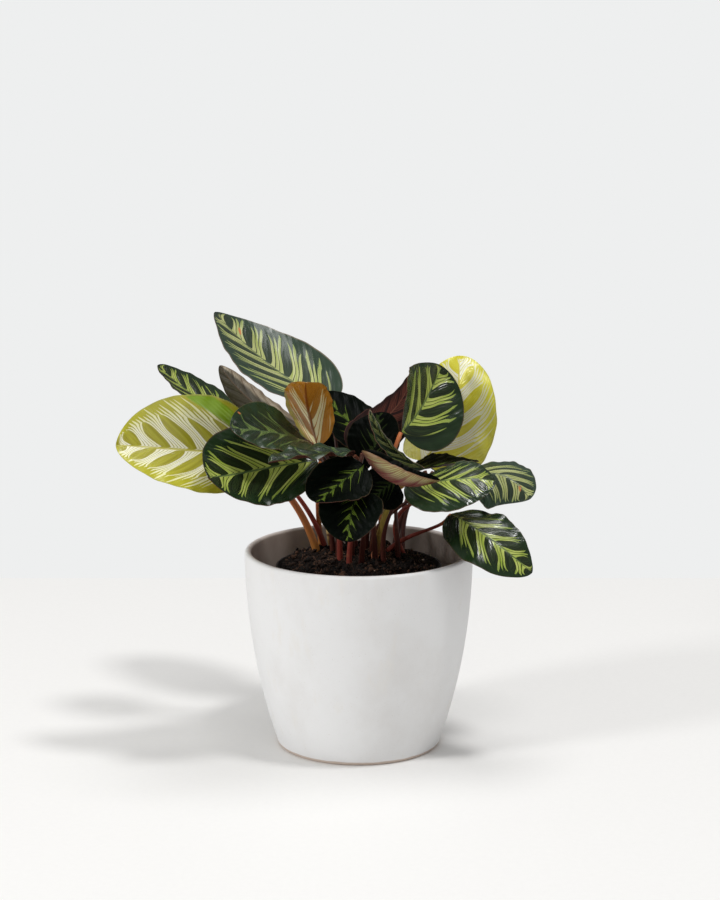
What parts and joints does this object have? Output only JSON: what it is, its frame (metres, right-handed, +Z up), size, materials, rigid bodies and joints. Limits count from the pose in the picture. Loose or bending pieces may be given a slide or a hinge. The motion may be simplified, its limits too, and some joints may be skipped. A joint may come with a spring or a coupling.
{
  "type": "potted foliage plant",
  "caption": "Clump of broad oval patterned leaves on thin stalks, rooted in soil in a thin nursery pot inside a rounded white clay cover pot.",
  "frame": {"origin": "middle of the cover pot's flat underside", "axes": "+Z up along the pot's axis, -Y towards the viewer of the picture, +X to the viewer's right"},
  "size_m": [0.314, 0.2438, 0.3172],
  "materials": {
    "white_clay": "matt washed white clay, a little mottled",
    "nursery_plastic": "thin dark plastic",
    "potting_soil": "coarse dark peat",
    "cut_stalk": "dry pale cut stalk",
    "stalk": "reddish brown leaf stalk",
    "leaf_green": "satin dark green leaf with pale green feathering, maroon underneath",
    "leaf_yellow_green": "satin yellow-green leaf with olive ovals",
    "leaf_young": "young leaf, amber brown with cream feathering"
  },
  "bodies": {
    "root": {"cover_pot": "white_clay", "nursery_pot": "nursery_plastic", "soil": "potting_soil", "cut_stalk": "cut_stalk", "leaf_01_blade": "leaf_green", "leaf_01_stalk": "stalk", "leaf_02_blade": "leaf_green", "leaf_02_stalk": "stalk", "leaf_03_blade": "leaf_green", "leaf_03_stalk": "stalk", "leaf_04_blade": "leaf_yellow_green", "leaf_04_stalk": "stalk", "leaf_05_blade": "leaf_yellow_green", "leaf_05_stalk": "stalk", "leaf_06_blade": "leaf_green", "leaf_06_stalk": "stalk", "leaf_07_blade": "leaf_green", "leaf_07_stalk": "stalk", "leaf_08_blade": "leaf_green", "leaf_08_stalk": "stalk", "leaf_09_blade": "leaf_green", "leaf_09_stalk": "stalk", "leaf_10_blade": "leaf_green", "leaf_10_stalk": "stalk", "leaf_11_blade": "leaf_green", "leaf_11_stalk": "stalk", "leaf_12_blade": "leaf_green", "leaf_12_stalk": "stalk", "leaf_13_blade": "leaf_green", "leaf_13_stalk": "stalk", "leaf_14_blade": "leaf_green", "leaf_14_stalk": "stalk", "leaf_15_blade": "leaf_green", "leaf_15_stalk": "stalk", "leaf_16_blade": "leaf_young", "leaf_16_stalk": "stalk", "leaf_17_blade": "leaf_green", "leaf_17_stalk": "stalk", "leaf_18_blade": "leaf_green", "leaf_18_stalk": "stalk", "leaf_19_blade": "leaf_green", "leaf_19_stalk": "stalk", "leaf_20_blade": "leaf_green", "leaf_20_stalk": "stalk", "leaf_21_blade": "leaf_green", "leaf_21_stalk": "stalk", "leaf_22_blade": "leaf_green", "leaf_22_stalk": "stalk", "leaf_23_blade": "leaf_green", "leaf_23_stalk": "stalk", "leaf_24_blade": "leaf_green", "leaf_24_stalk": "stalk", "leaf_25_blade": "leaf_green", "leaf_25_stalk": "stalk", "leaf_26_blade": "leaf_green", "leaf_26_stalk": "stalk"}
  },
  "joints": []
}
